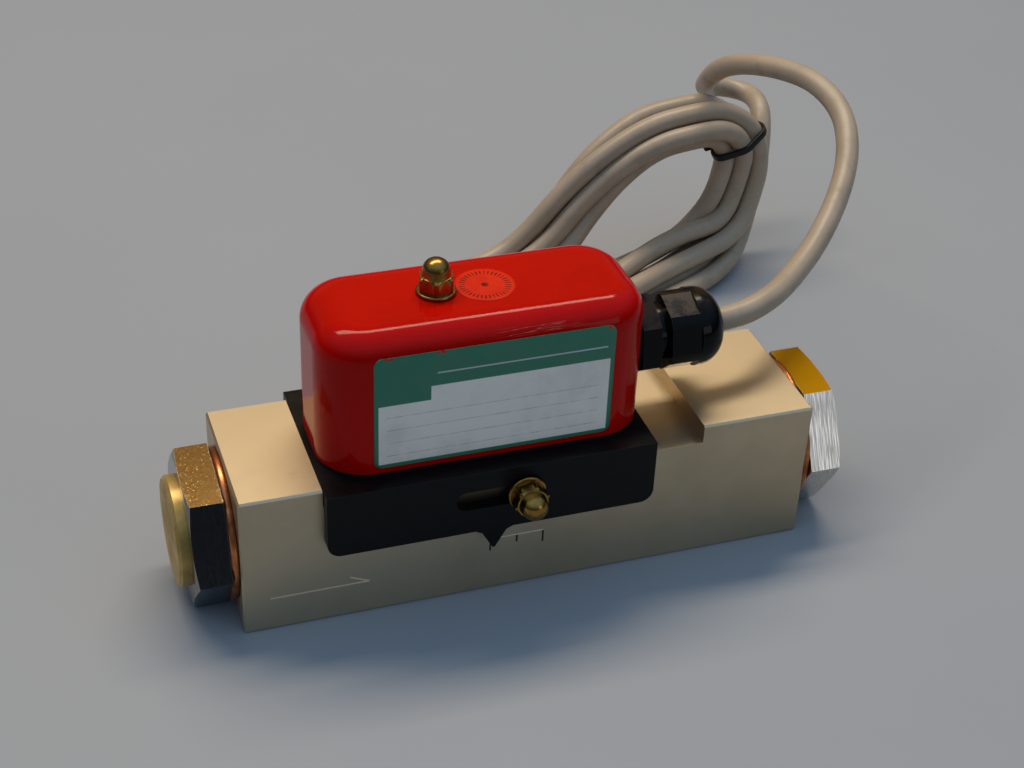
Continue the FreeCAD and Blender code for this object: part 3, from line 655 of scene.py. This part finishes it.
# Cable: one length of round grey PVC cable, 6.4 mm thick. It leaves the gland, loops up and back, dives
# behind the hank and is wound into it: a little over five turns, flat on the table at the hidden end and
# standing on their side at the far end, where they are folded sharply and tied.
cable_thickness = 6.4
cable_exit = (45.94, 0, 57.5)
lead_route = [(60, 0, 57.5), (73, 4.4, 58.8), (83.9, 13.5, 58.9), (95, 23, 61.5), (105, 33, 66.2),
              (112.6, 42.5, 70.9), (117.6, 51.5, 75.1), (120.3, 60.5, 78.8), (120.8, 70, 81), (118.8, 80, 82.3),
              (114.8, 90.5, 81.4), (110.2, 101.5, 78.7), (107.4, 112.5, 73.6), (108.2, 123, 66.2),
              (112, 134.5, 58), (116, 144.6, 50.8), (121.2, 150.6, 47.6), (128.4, 151.6, 46),
              (133.6, 146.5, 45.7), (133.7, 138.2, 45.6), (131.6, 130.6, 42)]
turn_line = np.array([(101.5, 121.5, 50.6), (109.3, 121.5, 50.8), (115.7, 121.5, 46.8), (119, 121.5, 40),
                      (119, 121.5, 32.5), (117.4, 121.2, 25), (115, 120, 17.8), (110.5, 117, 11.6),
                      (102, 112, 7.8), (88, 105.3, 6.8), (72, 98.5, 6.7), (55, 91.5, 6.7), (38, 86, 6.7),
                      (23.5, 84, 6.7), (12, 90.5, 6.7), (9.5, 101, 6.7), (18, 109, 6.7), (31, 111.5, 6.8),
                      (43.5, 114.5, 8.4), (53.8, 118.5, 15.8), (63, 121, 28), (74, 121.5, 39.8),
                      (87.5, 121.5, 48.6)])
steps = len(turn_line)
step = np.arange(steps)
standing = np.radians(np.interp(step, [4, 5, 6, 7, 8, 9, 17, 18, 19, 20, 21],
                                [90, 80, 60, 32, 10, 0, 0, 20, 50, 75, 90]))
facing = np.stack([0 * standing, -np.sin(standing), np.cos(standing)], axis=-1)
way = np.roll(turn_line, -1, axis=0) - np.roll(turn_line, 1, axis=0)
way = way / np.linalg.norm(way, axis=1)[:, None]
outward = np.cross(facing, way)
outward = outward / np.linalg.norm(outward, axis=1)[:, None]
above = np.cross(way, outward)
# Along the turn: how far the tie pulls the strands together, how far they fan out and how far they wander
pull_in, wander_out, wander_up = 0.3, 0.8, 0.6
squeezed = np.interp(step, [1, 2, 4, 18, 21, 22], [1, 0.7, 0, 0, 0.6, 1])
fanned = np.interp(step, [3, 4, 6, 8, 9, 12, 14, 16, 17, 18, 19, 20, 21, 22],
                   [1, 1.01, 1.02, 1, 1, 1, 1.1, 1.1, 1, 1.04, 1.06, 1.04, 1, 1])
loose = np.interp(step, [4, 6, 8, 17, 19, 21], [0, 0.25, 0, 0, 0.4, 0])
# Each lane: how far out and how far above the middle a turn lies, and how far the fold pushes it up
lanes = np.array([(9.8, -3.1, 0), (3.4, -3.1, -4.5), (-3.0, -3.1, 0), (-6.4, 3.2, 0), (0.2, 3.2, 4.5),
                  (6.8, 3.2, 0), (6.8, 3.2, 0)])
# The step at which each turn crosses to the next lane, and how many steps that takes. The last one never does
crossing, crossing_steps = [17.0, 15.8, 14.6, 13.4, 12.2, np.inf], 1.5
first_step, last_step = 4, 12
last_turn = len(crossing) - 1
# The last two turns stray beyond the tie: one rides up over its neighbour and the other leans in after it
stray = np.interp(step, [6, 8, 9, 11], [0, 1, 1, 0])
lean_in, rise_up = [0, 0, 0, 0, 2.6, 2.4], [0, 0, 0, 0, 5.0, 0.5]
wound = []
for turn, cross in enumerate(crossing):
    share = np.clip((step - cross) / crossing_steps + 0.5, 0, 1)
    share = (share * share * (3 - 2 * share))[:, None]
    out, high, push = (lanes[turn] * (1 - share) + lanes[turn + 1] * share).T
    out = out * (1 - pull_in * squeezed) * fanned + wander_out * loose * np.sin(2.4 * turn + 0.5 * step)
    high = high + push * squeezed + wander_up * loose * np.cos(1.7 * turn + 0.4 * step)
    out, high = out - lean_in[turn] * stray, high + rise_up[turn] * stray
    points = turn_line + outward * out[:, None] + above * high[:, None]
    wound.append(points[first_step if turn == 0 else 0:last_step if turn == last_turn else steps])
route = np.concatenate([[cable_exit], lead_route, *wound]) * millimetre
line = bpy.data.curves.new("cable", "CURVE")
line.dimensions = "3D"
spline = line.splines.new("NURBS")
spline.points.add(len(route) - 1)
spline.points.foreach_set("co", np.concatenate([route, np.ones((len(route), 1))], axis=1).ravel())
spline.order_u = 3
spline.use_endpoint_u = True
spline.resolution_u = 10
sheath, tree, inputs = finish("grey_pvc")
cloudy = use(tree, mottle, Size=0.02, Low=0.35, High=0.7)
grubby = use(tree, mottle, Size=0.006, Low=0.5, High=0.75)
colour = tint(tree, cloudy, shade(176, 156, 132), shade(164, 145, 122))
colour = tint(tree, calc(tree, "MULTIPLY", grubby, 0.35), colour, shade(132, 118, 104))
join(tree, inputs, Base_Color=colour, Roughness=spread(tree, grubby, 0.4, 0.54),
     Normal=bumped(tree, use(tree, grain, Size=0.0012), 0.00003))
line.materials.append(sheath)
cable = bpy.data.objects.new("cable", line)
bpy.context.collection.objects.link(cable)
centre = bpy.data.meshes.new_from_object(cable)
centre_line = np.empty(len(centre.vertices) * 3)
centre.vertices.foreach_get("co", centre_line)
centre_line = centre_line.reshape(-1, 3) / millimetre
line.bevel_depth = cable_thickness / 2 * millimetre
line.bevel_resolution = 6
line.use_fill_caps = True
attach(cable, "head")
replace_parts(cable, "cable_lead", "cable_hank")
dress(sheath, "cable_tail")


# Cable tie: a black nylon strap round the hank, pulled tight just below its far fold, with its square lock
# on the inner side. Matt, and bent round each strand that it lies on.
tie_step = 2
tie_width, tie_thickness, tie_gap = 2.2, 1.1, 0.05
tie_rounding, lock_rounding = 0.35, 0.3
strand_search = 20
strap = clouded("tie_nylon", 0.003, (shade(10, 10, 11), shade(17, 16, 16)), (0.38, 0.5), Specular_IOR_Level=0.3)
tie_centre, tie_leg = turn_line[tie_step:tie_step + 2].mean(axis=0), way[tie_step:tie_step + 2].mean(axis=0)
tie_leg = tie_leg / np.linalg.norm(tie_leg)
tie_high = above[tie_step]
tie_side = np.cross(tie_high, tie_leg)
ahead = (centre_line - tie_centre) @ tie_leg
near = np.linalg.norm(centre_line - tie_centre, axis=1) < strand_search
passes = np.flatnonzero((ahead[:-1] * ahead[1:] < 0) & near[:-1])
part = (ahead[passes] / (ahead[passes] - ahead[passes + 1]))[:, None]
strands = centre_line[passes] * (1 - part) + centre_line[passes + 1] * part - tie_centre
strands = np.stack([strands @ tie_side, strands @ tie_high], axis=-1)


def taut(strands, reach, bearings):
    """A line pulled tight round some strands: in each direction it lies against the strand that reaches
    furthest that way, at a set reach from its middle."""
    facing = np.stack([np.cos(bearings), np.sin(bearings)], axis=-1)
    return strands[(strands @ facing.T).argmax(axis=0)] + reach * facing, facing


def squared(values, power):
    """Cosines and sines raised to a small power, each with its own sign: a circle becomes a rounded square."""
    return np.sign(values) * np.abs(values) ** power


bearings = np.radians(np.arange(0, 361, 4))
path, facing = taut(strands, cable_thickness / 2 + tie_gap + tie_thickness / 2, bearings)
corner = np.radians(np.linspace(0, 360, 21)[:-1])
rim = squared(np.stack([np.cos(corner), np.sin(corner)], axis=-1), tie_rounding)
rim = rim * (tie_width / 2, tie_thickness / 2)
flat_grid = path[:, None, :] + facing[:, None, :] * rim[None, :, 1:]
grid = (tie_centre + flat_grid[..., :1] * tie_side + flat_grid[..., 1:] * tie_high
        + rim[None, :, :1] * tie_leg)
tie = skin("cable_strap", grid, strap)


def lump(centre, axes, half):
    """A block with rounded edges: a ball's three coordinates, each raised to a small power, times half the size
    along each axis."""
    tall = np.radians(np.linspace(-90, 90, 17))[:, None]
    wide = np.radians(np.linspace(0, 360, 33)[:-1])
    ball = np.stack([np.cos(tall) * np.cos(wide), np.cos(tall) * np.sin(wide),
                     np.sin(tall) * np.ones_like(wide)], axis=-1)
    return np.asarray(centre) + (squared(ball, lock_rounding) * np.asarray(half)) @ np.asarray(axes)


lock_bearing, lock_reach, lock_half = np.radians([205.0]), 2.2, (2.3, 2.3, 1.9)
lock_path, lock_facing = taut(strands, cable_thickness / 2 + lock_reach, lock_bearing)
lock_at = tie_centre + lock_path[0, 0] * tie_side + lock_path[0, 1] * tie_high
lock_out = lock_facing[0, 0] * tie_side + lock_facing[0, 1] * tie_high
lock_axes = [tie_leg, np.cross(lock_out, tie_leg), lock_out]
lock = skin("cable_tie_lock", lump(lock_at, lock_axes, lock_half), strap)
for piece in (tie, lock):
    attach(piece, "head")
    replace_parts(piece, "cable_tie")


# Cores: three insulated copper cores, in the terminals at one end and stripped of sheath at the other,
# with bare copper tips. Soft coloured PVC.
core_circle, core_radius, wire_radius = 1.5, 0.9, 0.5
core_length, tip_length, core_hidden = 8.0, 4.0, 1.0
bare_copper = clouded("bare_copper", 0.001, (shade(218, 142, 96), shade(186, 112, 72)), (0.3, 0.42),
                      Metallic=1.0)
end_way = centre_line[-1] - centre_line[-4]
end_way = end_way / np.linalg.norm(end_way)
end_side = np.cross(end_way, (0, 0, 1))
end_side = end_side / np.linalg.norm(end_side)
for number, insulation in enumerate((shade(110, 66, 40), shade(50, 74, 128), shade(26, 26, 27))):
    core, tree, inputs = finish("core_insulation_%d" % number)
    cloudy = use(tree, mottle, Size=0.003, Low=0.35, High=0.7)
    colour = tint(tree, calc(tree, "MULTIPLY", cloudy, 0.2), insulation, shade(60, 48, 40))
    join(tree, inputs, Base_Color=colour, Roughness=spread(tree, cloudy, 0.38, 0.5))
    if number == 0:
        dress(core, "cable_cores")
    angle = np.radians(120 * number + 90)
    spoke = np.cos(angle) * end_side + np.sin(angle) * np.cross(end_side, end_way)
    base = centre_line[-1] + core_circle * spoke
    from_here, to_here = -core_hidden, core_length
    profile = [(from_here, 0), (from_here, core_radius), (to_here, core_radius), (to_here, 0)]
    jacket = skin("stripped_core_%d" % number, turning(profile, base, end_way, end_side, sides=24), core)
    from_here, to_here = core_length - core_hidden, core_length + tip_length
    profile = [(from_here, 0), (from_here, wire_radius), (to_here, wire_radius), (to_here, 0)]
    tip = skin("core_tip_%d" % number, turning(profile, base, end_way, end_side, sides=16), bare_copper)
    for piece, slot in ((jacket, "core_insulation"), (tip, "copper")):
        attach(piece, "head")
        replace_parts(piece, "cable_end")


# Table, light and camera: a plain pale table, one broad warm lamp above and behind, a cool dim room
# and a small far window in front, which the outlet hexagon mirrors.
# The camera stands where the photograph was taken from.
table_half = 2.5
corners = np.array([(-1, -1, 0), (1, -1, 0), (1, 1, 0), (-1, 1, 0)]) * table_half
mesh = bpy.data.meshes.new("table")
mesh.from_pydata(corners.tolist(), [], [(0, 1, 2, 3)])
table_top = clouded("pale_table", 0.3, (shade(153, 156, 160), shade(149, 152, 157)), (0.5, 0.56), low=0.3)
mesh.materials.append(table_top)
table = bpy.data.objects.new("table", mesh)
bpy.context.collection.objects.link(table)

scene = bpy.context.scene
world = bpy.data.worlds.new("room")
scene.world = world
world.use_nodes = True
tree = world.node_tree
room_low, room_high, room_wall = (0.02, 0.024, 0.03, 1), (0.33, 0.49, 0.70, 1), (0.30, 0.20, 0.09, 1)
toward = put(tree, "ShaderNodeSeparateXYZ", {0: put(tree, "ShaderNodeTexCoord", out="Generated")}).node.outputs
ceiling = tint(tree, between(tree, toward["Z"], 0.05, 0.8), room_low, room_high)
wall = lay(tree, between(tree, toward["Y"], 0.2, 0.75), between(tree, toward["Z"], 0.15, 0.4))
room = tint(tree, wall, ceiling, room_wall)
tree.links.new(room, tree.nodes["Background"].inputs["Color"])


def aim(thing, place, target, roll=0.0):
    """Sets an object at a place, its own -Z pointing at a target, rolled about that line by some degrees."""
    back = np.asarray(place, float) - np.asarray(target, float)
    back = back / np.linalg.norm(back)
    level = np.cross((0, 0, 1), back)
    level = level / np.linalg.norm(level)
    right = np.cos(np.radians(roll)) * level + np.sin(np.radians(roll)) * np.cross(back, level)
    turned = Matrix(np.stack([right, np.cross(back, right), back], axis=-1).tolist()).to_4x4()
    turned.translation = place
    thing.matrix_world = turned


for name, width, depth, power, colour, place, target in (
        ("lamp", 1.2, 0.2, 10.5, (1.0, 0.85, 0.645), (0.0, 0.46, 1.05), (0, 0, 0.03)),
        ("window", 0.32, 0.26, 0.26, (1.0, 0.97, 0.94), (0.424, -0.708, 0.246), (0.08, -0.02, 0.03))):
    light = bpy.data.lights.new(name, "AREA")
    light.shape = "RECTANGLE"
    light.size, light.size_y = width, depth
    light.energy = power
    light.color = colour
    panel = bpy.data.objects.new(name, light)
    bpy.context.collection.objects.link(panel)
    aim(panel, place, target)

lens = bpy.data.cameras.new("camera")
lens.sensor_width = 36.0
lens.lens = 64.791
lens.clip_start = 0.01
camera = bpy.data.objects.new("camera", lens)
bpy.context.collection.objects.link(camera)
camera_place, camera_target, camera_roll = (-0.130158, -0.360844, 0.308812), (0.004938, 0.011131, 0.04), 2.5644
aim(camera, camera_place, camera_target, camera_roll)
scene.camera = camera
scene.view_settings.view_transform = "Standard"
